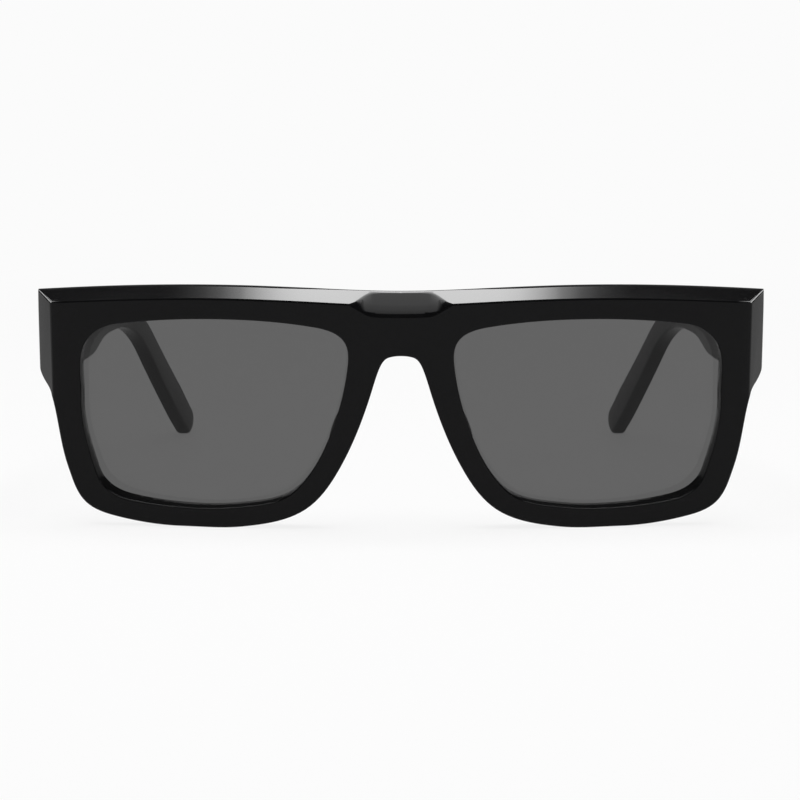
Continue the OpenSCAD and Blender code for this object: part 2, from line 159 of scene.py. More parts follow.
# Anchors are [x, z, heading], or [x, z, heading in, heading out] at a corner. The opening's x is
# from the middle of the lens. The outline, the brow and the scoop are left halves, from the nose
OPENING = [
    [27.1, 21.7, 93], [25.6, 34.2, 126], [19.7, 37.8, 170], [-3.4, 39.7, 180], [-20.1, 38.5, 189],
    [-26.5, 35.0, 246], [-26.9, 30.8, 276], [-23.7, 17.2, 290], [-16.4, 4.5, 315], [-4.3, 0.5, 352],
    [4.0, 0.0, 0], [18.0, 1.1, 10], [24.4, 6.4, 73],
]
OPENING = [[x * LENS_W / 54.1, z * LENS_H / 39.7 + RIM_LOW, a] for x, z, a in OPENING]
HALF_OUTLINE = [
    [0, ARCH_H, 0], [2.3, ARCH_H - 0.3, -16], [4.4, ARCH_H - 2.9, -69], [6.1, 28.5, -73],
    [12.1, 13.5, -62], [LENS_MID - 17.1, 3.7, -30], [LENS_MID - 5.4, 0.4, -8],
    [LENS_MID + 6.6, 0, -1], [LENS_MID + 19.7, 1.2, 11], [END_X - 8.6, 4.5, 50],
    [END_X - 5.7, 11.1, 72], [END_X - 2.6, END_LOW - 1.8, 75], [END_X - 1.5, END_LOW - 0.2, 42],
    [END_X, END_LOW + 2.6, 88], [END_X - 0.2, BROW_TOP, 91],
]
BROW = [
    [0, BROW_TOP - BROW_DIP, 0], [15, BROW_TOP - BROW_DIP / 2, 2.5], [32, BROW_TOP, 0],
    [END_X, BROW_TOP - BROW_DROP, -7.2],
]
BROW_LINE = along(BROW, 14)
BEVEL_LINE = [(x, z - BEVEL_RISE) for x, z in BROW_LINE]
SCOOP_LOW = BROW_TOP - BROW_DIP - BEVEL_RISE - SCOOP_H
SCOOP = [
    [0, SCOOP_LOW, 0], [SCOOP_HALF + 0.7, SCOOP_LOW + 0.1, 3],
    [SCOOP_HALF + 2.7, SCOOP_LOW + 0.68, 28], [SCOOP_HALF + 5.1, SCOOP_LOW + 2.1, 30],
    [SCOOP_HALF + 7.5, SCOOP_LOW + 3.5, 30],
]
# Scoop planes: the angle of each, and how far it starts above the scoop's lower line
BULGE, BULGE_UP = SCOOP_ANGLE - 3, 0.5
SCOOP_PLANES = ((50, 0), (46.5, 0.11), (43, 0.25), (BULGE, BULGE_UP))

# How the front leans and the ear pieces drop, and what that gives: the foot and the tips on the
# table, and the middle of the whole along y
LEAN_COS, LEAN_SIN = math.cos(math.radians(LEAN)), math.sin(math.radians(LEAN))
EAR_COS, EAR_SIN = math.cos(math.radians(EAR_DROP)), math.sin(math.radians(EAR_DROP))
FOOT = min(z * LEAN_COS + sag(x) * LEAN_SIN for x, z in along(HALF_OUTLINE, 6))
BEND_END = (BEND_Y + BEND_R * EAR_SIN, WAIST_Z - BEND_R * (1 - EAR_COS))
EAR_STRAIGHT = (BEND_END[1] - TIP_H / 2) / EAR_SIN
EAR_BENT = BEND_R * math.radians(EAR_DROP)
TIP = (BEND_END[0] + EAR_STRAIGHT * EAR_COS, TIP_H / 2)
TOP_Y = -(BROW_TOP - BEVEL_RISE - BROW_DIP / 2) * LEAN_SIN + sag(15) * LEAN_COS
MID_Y = (TOP_Y + TIP[0] + TIP_H / 2) / 2


# ---------------------------------------------------------------- modelling helpers
def select_only(piece):
    """Selects one piece alone and makes it the active one."""
    bpy.ops.object.select_all(action="DESELECT")
    piece.select_set(True)
    bpy.context.view_layer.objects.active = piece


def moved(piece, how):
    """Moves every vertex by a function of its place, in millimetres."""
    mesh = piece.data
    for v in mesh.vertices:
        v.co = Vector(how(*(v.co / MM))) * MM
    mesh.update()


def faces_turned_out():
    """Leaves edit mode, with the faces of the closed piece there turned outwards."""
    bpy.ops.mesh.select_all(action="SELECT")
    bpy.ops.mesh.normals_make_consistent(inside=False)
    bpy.ops.object.mode_set(mode="OBJECT")


def plate(name, points, near, far):
    """A flat outline (x, z), made solid from y = near to y = far."""
    bpy.ops.object.select_all(action="DESELECT")
    bpy.ops.mesh.primitive_circle_add(vertices=len(points), radius=START_R, fill_type="NGON")
    piece = bpy.context.object
    piece.name = name
    for v, (x, z) in zip(piece.data.vertices, points):
        v.co = (x * MM, near * MM, z * MM)
    bpy.ops.object.mode_set(mode="EDIT")
    bpy.ops.mesh.select_all(action="SELECT")
    bpy.ops.mesh.extrude_region_move(TRANSFORM_OT_translate={"value": (0, (far - near) * MM, 0)})
    faces_turned_out()
    return piece


def block(name, low, high):
    """A box between two corners, as a cutter."""
    bpy.ops.object.select_all(action="DESELECT")
    middle = [(a + b) / 2 * MM for a, b in zip(low, high)]
    bpy.ops.mesh.primitive_cube_add(size=1, location=middle)
    piece = bpy.context.object
    piece.name = name
    piece.scale = [(b - a) * MM for a, b in zip(low, high)]
    bpy.ops.object.transform_apply(location=True, rotation=True, scale=True)
    return piece


def sliced(piece, axis, low, high, step):
    """Cuts a piece into strips across an axis, so that it can be bent."""
    select_only(piece)
    bpy.ops.object.mode_set(mode="EDIT")
    across = Vector([float(i == axis) for i in range(3)])
    at, hair = low, 1e-6
    while at <= high + hair:
        bpy.ops.mesh.select_all(action="SELECT")
        bpy.ops.mesh.bisect(plane_co=across * (at * MM), plane_no=across, threshold=SAME * MM)
        at += step
    bpy.ops.object.mode_set(mode="OBJECT")


def modified(piece, kind, **settings):
    """Adds a modifier and applies it."""
    select_only(piece)
    modifier = piece.modifiers.new(kind.title(), kind)
    for key, value in settings.items():
        setattr(modifier, key, value)
    bpy.ops.object.modifier_apply(modifier=modifier.name)


def carved(piece, cutter):
    """Cuts a closed piece by a closed cutter, which is used up."""
    modified(piece, "BOOLEAN", operation="DIFFERENCE", solver="MANIFOLD", object=cutter)
    bpy.data.objects.remove(cutter)


def mirrored_copy(piece):
    """A copy of a left piece on the right, with its own mesh."""
    copy = piece.copy()
    copy.data = piece.data.copy()
    bpy.context.collection.objects.link(copy)
    for v in copy.data.vertices:
        v.co.x = -v.co.x
    copy.data.flip_normals()
    return copy


def smoothed(piece, angle):
    """Shades a piece smooth, but for edges that turn by more than an angle."""
    select_only(piece)
    bpy.ops.object.shade_smooth_by_angle(angle=math.radians(angle), keep_sharp_edges=False)


def cleaned(piece, gap=2 * SAME):
    """Merges points that count as one, and what shrinks to nothing with them."""
    select_only(piece)
    bpy.ops.object.mode_set(mode="EDIT")
    bpy.ops.mesh.select_all(action="SELECT")
    bpy.ops.mesh.remove_doubles(threshold=gap * MM)
    bpy.ops.mesh.dissolve_degenerate(threshold=gap * MM)
    bpy.ops.object.mode_set(mode="OBJECT")


def leaning(x, y, z):
    """From the plane of the front to the leaning front on the table."""
    return x, y * LEAN_COS - z * LEAN_SIN - MID_Y, y * LEAN_SIN + z * LEAN_COS - FOOT


def at_lens(s, d, z):
    """From a lens's own frame to the plane of the front, on the left."""
    c, n = math.cos(LENS_TURN), math.sin(LENS_TURN)
    return LENS_MID + s * c - d * n, sag(LENS_MID) + s * n + d * c, z


# ---------------------------------------------------------------- the acetate front
def drawn_plate(name, rings, half_depth, rounding):
    """A flat curve with holes, thickened both ways, with rounded edges along every ring."""
    bpy.ops.object.select_all(action="DESELECT")
    bpy.ops.curve.primitive_bezier_circle_add(radius=START_R)
    piece = bpy.context.object
    piece.name = name
    drawing = piece.data
    drawing.splines.clear()
    for ring in rings:
        spline = drawing.splines.new("BEZIER")
        spline.bezier_points.add(len(ring) - 1)
        spline.use_cyclic_u = True
        for i, anchor in enumerate(ring):
            before, after = ring[i - 1], ring[(i + 1) % len(ring)]
            point = spline.bezier_points[i]
            point.handle_left_type = point.handle_right_type = "FREE"
            point.co = (anchor[0] * MM, anchor[1] * MM, 0)
            left = ahead(anchor, anchor[2], -reach(before, anchor))
            right = ahead(anchor, anchor[-1], reach(anchor, after))
            point.handle_left = (left[0] * MM, left[1] * MM, 0)
            point.handle_right = (right[0] * MM, right[1] * MM, 0)
    drawing.dimensions = "2D"
    drawing.fill_mode = "BOTH"
    drawing.resolution_u = 10
    drawing.extrude = (half_depth - rounding) * MM
    drawing.bevel_depth = rounding * MM
    drawing.bevel_resolution = 3
    drawing.offset = -rounding * MM
    select_only(piece)
    bpy.ops.object.convert(target="MESH")
    moved(piece, lambda x, y, z: (x, half_depth - z, y))
    select_only(piece)
    bpy.ops.object.mode_set(mode="EDIT")
    bpy.ops.mesh.select_all(action="SELECT")
    bpy.ops.mesh.remove_doubles(threshold=SAME * MM)
    faces_turned_out()
    return piece


def flipped(ring):
    """The mirror of a chain of anchors, run the other way."""
    return [[-a[0], a[1]] + [(-h) % 360 for h in reversed(a[2:])] for a in reversed(ring)]


def over_ruled(name, edge, angle, past=10):
    """What lies over a ruled face that starts on a line across the front and rises to the back."""
    c, n = math.cos(math.radians(angle)), math.sin(math.radians(angle))
    half = [(x, (z - math.tan(math.radians(angle)) * sag(x)) * c) for x, z in edge]
    far_x = half[-1][0] + past
    half += [(far_x, half[-1][1]), (far_x, BROW_TOP + PAST_RULED)]
    outline = half + [(-x, z) for x, z in reversed(half) if x > 0]
    cutter = plate(name, outline, -PAST_RULED, PAST_BACK)
    moved(cutter, lambda x, y, z: (x, y * c - z * n, y * n + z * c))
    return cutter


def eased(piece, edge, before, behind, cuts, past=10):
    """Rounds an edge (x, depth, z, radius) that runs across the front, between two slopes, with
    flat cuts."""
    b, h = math.radians(before), math.radians(behind)
    normals = np.array([[-math.sin(b), math.cos(b)], [-math.sin(h), math.cos(h)]])
    back, up = np.linalg.solve(normals, [-1, -1])
    for cut in cuts:
        c, n = math.cos(math.radians(cut)), math.sin(math.radians(cut))
        line = [(x, z + r * up + (r - n * (depth + r * back)) / c) for x, depth, z, r in edge]
        carved(piece, over_ruled("ease", line, cut, past))


def between(x, low, high):
    """A share that rises smoothly from 0 to 1 as x goes from low to high."""
    t = min(max((x - low) / (high - low), 0), 1)
    return t * t * (3 - 2 * t)


def beyond(point, normal, side):
    """What lies on the outer side of a plane, given by a point and its outward normal, on the
    left (1) or the right (-1)."""
    out_past, wide, tall = 20, 40, 60
    cutter = block("beyond", (0, -wide, -tall), (out_past, wide, tall))
    out = Vector(normal).normalized()
    along_y = out.cross(Vector((0, 1, 0)).cross(out)).normalized()
    up = out.cross(along_y)

    def placed(x, y, z):
        at = Vector(point) + out * x + along_y * y + up * z
        return side * at.x, at.y, at.z

    moved(cutter, placed)
    if side < 0:
        cutter.data.flip_normals()
    return cutter


def over_edge(piece, point, first, second, radius, shares, side):
    """Rounds the edge between two planes that meet at a point, with flat cuts at shares of the
    turn."""
    a, b = Vector(first).normalized(), Vector(second).normalized()
    half = a.angle(b) / 2
    middle = Vector(point) - (a + b).normalized() * radius / math.cos(half)
    for share in shares:
        out = a.slerp(b, share)
        carved(piece, beyond(middle + out * radius, out, side))


def cut_flank(piece, side):
    """The flat on the outer side of an end piece, with the edges round it eased."""
    start, end = END_X - FLANK_W, sag(END_X) + FLANK_DEPTH
    heading = math.atan2(end - sag(start), FLANK_W)
    bow = math.asin(start / FRONT_R)
    face, out = (math.sin(bow), -math.cos(bow), 0), (math.sin(heading), -math.cos(heading), 0)
    carved(piece, beyond((start, sag(start), 0), out, side))
    over_edge(piece, (start, sag(start), 0), face, out, FLANK_EASE, (0.3, 0.65), side)
    over_edge(piece, (END_X, end, 0), out, (1, 0, 0), FLANK_EASE, (0.35, 0.7), side)
    slope = math.tan(math.radians(BROW_SLOPE))
    top = (BEVEL_STEEP * math.tan(bow) + slope, -BEVEL_STEEP, 1)
    brow_z = BROW_TOP - BROW_DROP + FLANK_W * slope - BEVEL_RISE
    over_edge(piece, (start, sag(start), brow_z), top, out, MITRE_EASE, (0.25, 0.5, 0.75), side)


def picked(piece, angle):
    """The middle, in millimetres, and the bevel weight of every edge sharper than an angle."""
    select_only(piece)
    bpy.ops.object.mode_set(mode="EDIT")
    bpy.ops.mesh.select_mode(type="EDGE")
    bpy.ops.mesh.select_all(action="DESELECT")
    bpy.ops.mesh.edges_select_sharp(sharpness=math.radians(angle))
    bpy.ops.object.mode_set(mode="OBJECT")
    mesh = piece.data
    weights = mesh.attributes.new("bevel_weight_edge", "FLOAT", "EDGE")
    found = []
    for edge in mesh.edges:
        if edge.select:
            start, end = (mesh.vertices[v].co for v in edge.vertices)
            found.append(((start + end) / 2 / MM, weights.data[edge.index]))
    return found


def bevelled(piece, width):
    """Rounds the edges that have a bevel weight."""
    modified(piece, "BEVEL", width=width * MM, segments=4, limit_method="WEIGHT",
             use_clamp_overlap=False, loop_slide=False, miter_outer="MITER_ARC")


def on_back(x, y, z):
    """Bends a cutter to the back of the sheet."""
    return x, y + sag(x, FRONT_R - FRONT_T), z


def bent_sheet():
    """A thick blank with its openings, bent to the bow and cut down to the sheet, but for the
    returns at its ends."""
    left_half = [list(a) for a in HALF_OUTLINE] + [[END_X - 0.2, BROW_TOP + BLANK_OVER, 91, 180]]
    outline = left_half + flipped(left_half[1:])
    left_opening = [[at_lens(x, 0, z)[0], z, a] for x, z, a in OPENING]
    rings = [outline, left_opening, flipped(left_opening)]
    front = drawn_plate("acetate_front", rings, BLANK_T / 2, RIM_EASE)
    sliced(front, 0, -OUTER_STRIP, OUTER_STRIP, STRIP)

    # Openings are cut square to each lens, so their walls turn with it
    rim = np.array(round_ring(left_opening, 8))
    sheet_edge = np.array(along(HALF_OUTLINE, 8))
    slope = math.tan(LENS_TURN)

    def bent(x, y, z):
        here = np.array([abs(x), z])
        to_rim, to_edge = (np.min(np.hypot(*(line - here).T)) for line in (rim, sheet_edge))
        shift = 0
        if to_rim < to_edge and z < OPENINGS_TOP:
            shift = -slope * y * (1 if x > 0 else -1)
        return x + shift, y + sag(x), z

    moved(front, bent)

    behind_y, inside_x, outside_x = 50, RETURN_X - CLEAR, END_X + 2 * CLEAR
    behind = block("behind", (-RETURN_X, FRONT_T, PAST_FOOT),
                   (RETURN_X, behind_y, BROW_TOP + 2 * BLANK_OVER))
    sliced(behind, 0, -OUTER_BACK_STRIP, OUTER_BACK_STRIP, STRIP)
    moved(behind, on_back)
    carved(front, behind)
    for side in (1, -1):
        low = block("behind_low", (inside_x, FRONT_T, PAST_FOOT), (outside_x, behind_y, END_LOW))
        sliced(low, 0, inside_x, outside_x, STRIP / 2)
        moved(low, on_back)
        if side < 0:
            moved(low, lambda x, y, z: (-x, y, z))
            low.data.flip_normals()
        carved(front, low)
        carved(front, rim_flare(side))
    cleaned(front)
    sharp, near_back = 32, FRONT_T - 0.6
    for edge, weight in picked(front, sharp):
        on_the_back = edge.y - sag(edge.x) > near_back
        weight.value = float(on_the_back and edge.z < OPENINGS_TOP)
    bevelled(front, BACK_EASE)
    return front


def cut_brow(front):
    """The brow rises over a bevel to a soft ridge, and falls behind it."""
    fall = math.tan(math.radians(FALL))
    fall_line = [(x, z + BEVEL_DEPTH * fall) for x, z in BROW_LINE]
    carved(front, over_ruled("brow_bevel", BEVEL_LINE, BEVEL_ANGLE))
    carved(front, over_ruled("brow_fall", fall_line, -FALL))
    foot = [(x, 0, z, EDGE_EASE) for x, z in BEVEL_LINE]
    eased(front, foot, 90, BEVEL_ANGLE, BEVEL_FOOT_CUTS)
    ridge = []
    for x, z in BROW_LINE:
        ridge.append((x, BEVEL_DEPTH, z, RIDGE_EASE + RIDGE_WIDER * between(x, *RIDGE_SPREAD)))
    eased(front, ridge, BEVEL_ANGLE, -FALL, RIDGE_CUTS)
    # The edge to the back ends where the returns begin
    down = (FRONT_T - BEVEL_DEPTH) * fall
    back = [(x, FRONT_T, z - down, BACK_EASE) for x, z in BROW_LINE if x < RETURN_X - 2 * CLEAR]
    eased(front, back, -FALL, -90, BACK_CUTS, CLEAR)


def cut_scoop(front):
    """The scoop bulges a little, steepest in front, and its ends run softly into the bevel."""
    scoop = along(SCOOP, 10)
    for angle, up in SCOOP_PLANES:
        carved(front, over_ruled("nose_scoop", [(x, z + up) for x, z in scoop], angle))
    meeting = []
    for x, z in scoop:
        top = np.interp(x, [q[0] for q in BEVEL_LINE], [q[1] for q in BEVEL_LINE])
        depth = (top - z - BULGE_UP) / (math.tan(math.radians(BULGE)) - BEVEL_STEEP)
        depth = max(depth, -1)
        wider = MEETING_WIDER * between(x, *MEETING_SPREAD)
        meeting.append((x, depth, top + BEVEL_STEEP * depth, MEETING_EASE + wider))
    # Past its last point it leaves the front upwards
    meeting.append((meeting[-1][0] + 2, 0, BROW_TOP + 3, 0.1))
    eased(front, meeting, BULGE, BEVEL_ANGLE, SCOOP_TOP_CUTS, CLEAR)
    foot = [(x, 0, z, EDGE_EASE) for x, z in scoop]
    eased(front, foot, 90, SCOOP_PLANES[0][0], SCOOP_FOOT_CUTS)


def cut_seats(front):
    """The returns end at the temples, the hinges sit before that, and their anchors are let in."""
    past_back = PAST_BACK - MID_Y
    for name, half_w, y in (("joint_plane", PAST_SIDE, JOINT_Y), ("hinge_seat", INNER_X, SEAT_Y)):
        carved(front, block(name, (-half_w, y - MID_Y, PAST_FOOT), (half_w, past_back, PAST_TOP)))
    # Below the returns the rims end in line with the hinge seats
    just_over = END_LOW + 0.02
    foot = block("seat_foot", (-PAST_SIDE, 0, PAST_FOOT), (PAST_SIDE, PAST_BACK, just_over))
    moved(foot, leaning)
    wide, under = 90, -30
    carved(foot, block("before_seat", (-wide, -wide, under), (wide, SEAT_Y - MID_Y, wide)))
    carved(front, foot)
    half_w, half_h = ANCHOR_W / 2 + SEAT_GAP, HINGE_H / 2
    for side in (1, -1):
        near, far = sorted((side * (AXIS_X - half_w), side * (AXIS_X + half_w)))
        carved(front, block(
            "pocket",
            (near, SEAT_Y - ANCHOR_SUNK - SEAT_GAP - MID_Y, HINGE_Z - half_h - SEAT_GAP),
            (far, SEAT_Y + CLEAR - MID_Y, HINGE_Z + half_h + SEAT_GAP),
        ))


def acetate_front():
    """The front, in the order in which it is made."""
    front = bent_sheet()
    cut_brow(front)
    cut_scoop(front)
    for side in (1, -1):
        cut_flank(front, side)
    moved(front, leaning)
    cut_seats(front)
    # The flat cuts of the eased edges turn by less than this, and shade as one curve
    smoothed(front, 24)
    modified(front, "WEIGHTED_NORMAL", keep_sharp=True, weight=90)
    return front


# ---------------------------------------------------------------- lenses and pads
def lens_face(x, z, in_glass=0):
    """Depth of a lens's front face, or of a face inside it, in the lens's own frame."""
    middle = LENS_DEPTH - sag(LENS_W / 2, LENS_R) + sag(LENS_W / 2)
    r = LENS_R - in_glass
    return middle + LENS_R - math.sqrt(r * r - x * x - (z - RIM_LOW - LENS_H / 2) ** 2)


def rim_flare(side):
    """What the opening widens by behind a lens, which hides its wall from the front."""
    ring = round_ring(OPENING, 6)
    start, wide = grown(ring, -0.02), grown(ring, math.tan(math.radians(FLARE)) * FLARE_LEN)
    in_lens = -0.3
    cutter = plate("flare", start, in_lens, FLARE_LEN)
    spread = {tuple(round(c, 4) for c in a): b for a, b in zip(start, wide)}

    def flared(x, y, z):
        depth = lens_face(x, z, LENS_T)
        if y > 0:
            x, z = spread[min(spread, key=lambda k: math.dist(k, (x, z)))]
        x, y, z = at_lens(x, depth + y, z)
        return side * x, y, z

    moved(cutter, flared)
    if side < 0:
        cutter.data.flip_normals()
    return cutter


def grown(ring, d):
    """An outline (x, z), listed anticlockwise, moved outwards."""
    out = []
    for (x0, z0), (x, z), (x1, z1) in zip(ring[-1:] + ring[:-1], ring, ring[1:] + ring[:1]):
        length = math.hypot(x1 - x0, z1 - z0)
        out.append((x + d * (z1 - z0) / length, z - d * (x1 - x0) / length))
    return out


def lens_glass():
    """A meniscus: the opening's outline, grown into the groove, on a ball."""
    in_groove, strip, outer_strip = 0.35, 1.5, 26
    lens = plate("lens", grown(round_ring(OPENING, 8), in_groove), 0, LENS_T)
    sliced(lens, 0, -outer_strip, outer_strip, strip)
    sliced(lens, 2, RIM_LOW + 0.5, RIM_LOW + LENS_H, strip)
    moved(lens, lambda x, y, z: at_lens(x, lens_face(x, z, y), z))
    moved(lens, leaning)
    smoothed(lens, 40)
    return lens


def nose_pad():
    """Half an egg on the back of the rim, its crest leaning away from the nose."""
    bpy.ops.object.select_all(action="DESELECT")
    bpy.ops.mesh.primitive_uv_sphere_add(segments=48, ring_count=32, radius=1)
    pad = bpy.context.object
    pad.name = "nose_pad"
    bpy.ops.object.mode_set(mode="EDIT")
    bpy.ops.mesh.select_all(action="SELECT")
    # Less than half of the ball is cut off, which leaves a root below its widest place
    bpy.ops.mesh.bisect(plane_co=(0, -0.25, 0), plane_no=(0, 1, 0), clear_inner=True, use_fill=True)
    faces_turned_out()
    # A blunt crest that leans as it rises, on a root sunk in the rim
    crest, root, crest_lean = 0.85, 1.2, 0.22
    pad_x = BRIDGE_W / 2 + PAD_ASIDE
    back = sag(pad_x) + FRONT_T
    c, n = math.cos(math.radians(PAD_SLANT)), math.sin(math.radians(PAD_SLANT))

    def shaped(x, y, z):
        x, y, z = (v * MM for v in (x, y, z))
        x, y, z = x * PAD_W / 2, y ** crest * PAD_OUT if y > 0 else y * root, z * PAD_LEN / 2
        x += crest_lean * max(y, 0)
        return pad_x + x * c - z * n, back + PAD_OFF + y, PAD_UP + x * n + z * c

    moved(pad, shaped)
    moved(pad, leaning)
    smoothed(pad, 50)
    return pad


# ---------------------------------------------------------------- temples
def inner_face(y):
    """How far out the inner face of a temple lies at y."""
    along_curve = max(y - CURVE_Y, 0) / (TIP[0] - CURVE_Y)
    return INNER_X - TIP_IN * along_curve ** CURVE_POWER


def thickness(y):
    """How thick a temple is at y: it thins evenly as far as the bend."""
    start = JOINT_Y + BUTT
    return TEMPLE_T + (EAR_T - TEMPLE_T) * (y - start) / (BEND_Y - start) if y < BEND_Y else EAR_T


def ear_edge(f, side):
    """A point on the upper (1) or lower (-1) edge of the ear piece at a share f of its length."""
    s = f * (EAR_BENT + EAR_STRAIGHT)
    a = math.radians(min(math.degrees(s / BEND_R), EAR_DROP))
    rest = max(s - EAR_BENT, 0)
    half = (WAIST_H + f * (TIP_H - WAIST_H)) / 2
    return (BEND_Y + BEND_R * math.sin(a) + rest * math.cos(a) + side * half * math.sin(a),
            WAIST_Z - BEND_R * (1 - math.cos(a)) - rest * math.sin(a) + side * half * math.cos(a))


def temple_acetate():
    """The left temple, from its butt end to the rounded tip."""
    start, top = JOINT_Y + BUTT, TEMPLE_LOW + TEMPLE_H
    waist_low, waist_top = WAIST_Z - WAIST_H / 2, WAIST_Z + WAIST_H / 2
    low = along([[start, TEMPLE_LOW, -2], [35, TEMPLE_LOW - 0.7, -2],
                 [BEND_Y - 26, TEMPLE_LOW - 0.9, 3], [BEND_Y - 15, waist_low - 0.6, 9],
                 [BEND_Y - 1, waist_low, 0]], 10)
    high = along([[start, top, -1], [35, top - 1.6, -6], [BEND_Y - 24, waist_top + 4.1, -13],
                  [BEND_Y - 1, waist_top, 0]], 12)
    steps = 40
    side = low + [ear_edge(i / steps, -1) for i in range(1, steps + 1)]
    for a in range(-84, 85, 6):
        t = math.radians(a - EAR_DROP)
        side.append((TIP[0] + TIP_H / 2 * math.cos(t), TIP[1] + TIP_H / 2 * math.sin(t)))
    side += [ear_edge(i / steps, 1) for i in range(steps, 0, -1)] + high[::-1]
    temple = plate("temple", side, -1, 0)
    # From (along, -depth, up) to (depth, along, up): the thickness is set where it is bent
    moved(temple, lambda x, y, z: ((y + 1) * TEMPLE_T, x, z))
    select_only(temple)
    bpy.ops.object.mode_set(mode="EDIT")
    faces_turned_out()
    # Its edges get rounder over the last few millimetres of the tip
    sharp, rounder, before_tip, over = 60, 1.4, 6, 8
    for edge, weight in picked(temple, sharp):
        weight.value = 1 + rounder * min(max((edge.y - TIP[0] + before_tip) / over, 0), 1)
    bevelled(temple, TEMPLE_EASE)
    # Strips along its length let it curve in towards the tip
    strip, last_strip = 1.5, 143
    sliced(temple, 1, start + strip, last_strip, strip)
    moved(temple, lambda x, y, z: (inner_face(y) + x / TEMPLE_T * thickness(y), y - MID_Y, z))
    half_h = HINGE_H / 2
    carved(temple, block(
        "plate_pocket",
        (INNER_X - CLEAR, start - CLEAR - MID_Y, HINGE_Z - half_h - SEAT_GAP),
        (INNER_X + PLATE_T + SEAT_GAP, PLATE_END + SEAT_GAP - MID_Y, HINGE_Z + half_h + SEAT_GAP),
    ))
    smoothed(temple, 35)
    return temple


# ---------------------------------------------------------------- materials
def linear(code):
    """An sRGB hex colour as linear light."""
    values = [int(code[i:i + 2], 16) / 255 for i in (1, 3, 5)]
    return [v / 12.92 if v <= 0.04045 else ((v + 0.055) / 1.055) ** 2.4 for v in values] + [1]


def node(tree, kind, settings=None, links=None):
    """Adds a node with its settings and the links into its inputs."""
    made = tree.nodes.new("ShaderNode" + kind)
    for key, value in (settings or {}).items():
        if key in made.inputs:
            made.inputs[key].default_value = value
        else:
            setattr(made, key, value)
    for key, socket in (links or {}).items():
        tree.links.new(socket, made.inputs[key])
    return made


def material(name):
    """A material and its empty node tree."""
    made = bpy.data.materials.new(name)
    made.use_nodes = True
    made.node_tree.nodes.clear()
    return made, made.node_tree


def polished_cellulose_acetate(name, code, rough_low, rough_high):
    """Cellulose acetate sheet, milled, tumbled in drums and buffed: deep black, wet-looking, with
    a very slight waviness left by the buffing wheel and a faint haze that varies over a centimetre
    or two."""
    haze_mm, wave_mm, wave_height_mm = 18, 9, 0.02
    made, tree = material(name)
    place = node(tree, "TexCoord")
    haze = node(tree, "TexNoise", {"Scale": 1 / (haze_mm * MM), "Detail": 2, "Roughness": 0.5},
                {"Vector": place.outputs["Object"]})
    rough = node(tree, "MapRange", {"From Min": 0.35, "From Max": 0.65, "To Min": rough_low,
                                    "To Max": rough_high}, {"Value": haze.outputs["Fac"]})
    wave = node(tree, "TexNoise", {"Scale": 1 / (wave_mm * MM), "Detail": 1},
                {"Vector": place.outputs["Object"]})
    bump = node(tree, "Bump", {"Strength": 0.04, "Distance": wave_height_mm * MM},
                {"Height": wave.outputs["Fac"]})
    shader = node(tree, "BsdfPrincipled", {"Base Color": linear(code), "IOR": 1.215},
                  {"Roughness": rough.outputs["Result"], "Normal": bump.outputs["Normal"]})
    node(tree, "OutputMaterial", links={"Surface": shader.outputs[0]})
    return made


def tinted_lens_glass(name, code):
    """Mineral glass, tinted through and polished: clear-edged, neutral grey, hardly any haze."""
    smear_mm = 22
    made, tree = material(name)
    place = node(tree, "TexCoord")
    smear = node(tree, "TexNoise", {"Scale": 1 / (smear_mm * MM), "Detail": 3},
                 {"Vector": place.outputs["Object"]})
    rough = node(tree, "MapRange", {"From Min": 0.4, "From Max": 0.7, "To Min": 0.0,
                                    "To Max": 0.025}, {"Value": smear.outputs["Fac"]})
    shader = node(tree, "BsdfPrincipled", {"Base Color": linear(code), "IOR": 1.25,
                                           "Transmission Weight": 1.0},
                  {"Roughness": rough.outputs["Result"]})
    node(tree, "OutputMaterial", links={"Surface": shader.outputs[0]})
    return made


def worked_metal(name, code, rough, scratch_mm, stretch):
    """A tumbled or turned metal: fine lines along the work, a soft satin shine."""
    line_depth_mm = 0.01
    made, tree = material(name)
    place = node(tree, "TexCoord")
    turned = node(tree, "Mapping", {"Scale": stretch}, {"Vector": place.outputs["Object"]})
    lines = node(tree, "TexNoise", {"Scale": 1 / (scratch_mm * MM), "Detail": 3},
                 {"Vector": turned.outputs["Vector"]})
    spread = node(tree, "MapRange", {"From Min": 0.3, "From Max": 0.7, "To Min": rough - 0.06,
                                     "To Max": rough + 0.08}, {"Value": lines.outputs["Fac"]})
    bump = node(tree, "Bump", {"Strength": 0.25, "Distance": line_depth_mm * MM},
                {"Height": lines.outputs["Fac"]})
    shader = node(tree, "BsdfPrincipled", {"Base Color": linear(code), "Metallic": 1.0},
                  {"Roughness": spread.outputs["Result"], "Normal": bump.outputs["Normal"]})
    node(tree, "OutputMaterial", links={"Surface": shader.outputs[0]})
    return made


def wear(piece, finish):
    """Gives a piece one finish all over."""
    piece.data.materials.clear()
    piece.data.materials.append(finish)


# ---------------------------------------------------------------- the pieces
front_black = polished_cellulose_acetate("polished black acetate sheet", "#070708", 0.04, 0.08)
pad_black = polished_cellulose_acetate("tumbled black acetate pad", "#0f0f10", 0.16, 0.24)
lens_grey = tinted_lens_glass("grey tinted lens glass", "#616161")
nickel_silver = worked_metal("tumbled nickel silver", "#c2beb2", 0.3, 0.5, (1, 1, 1))
turned_steel = worked_metal("turned screw steel", "#a9abad", 0.25, 0.15, (1, 1, 0.1))

front = acetate_front()
wear(front, front_black)
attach(front, "front")
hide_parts("front_frame")

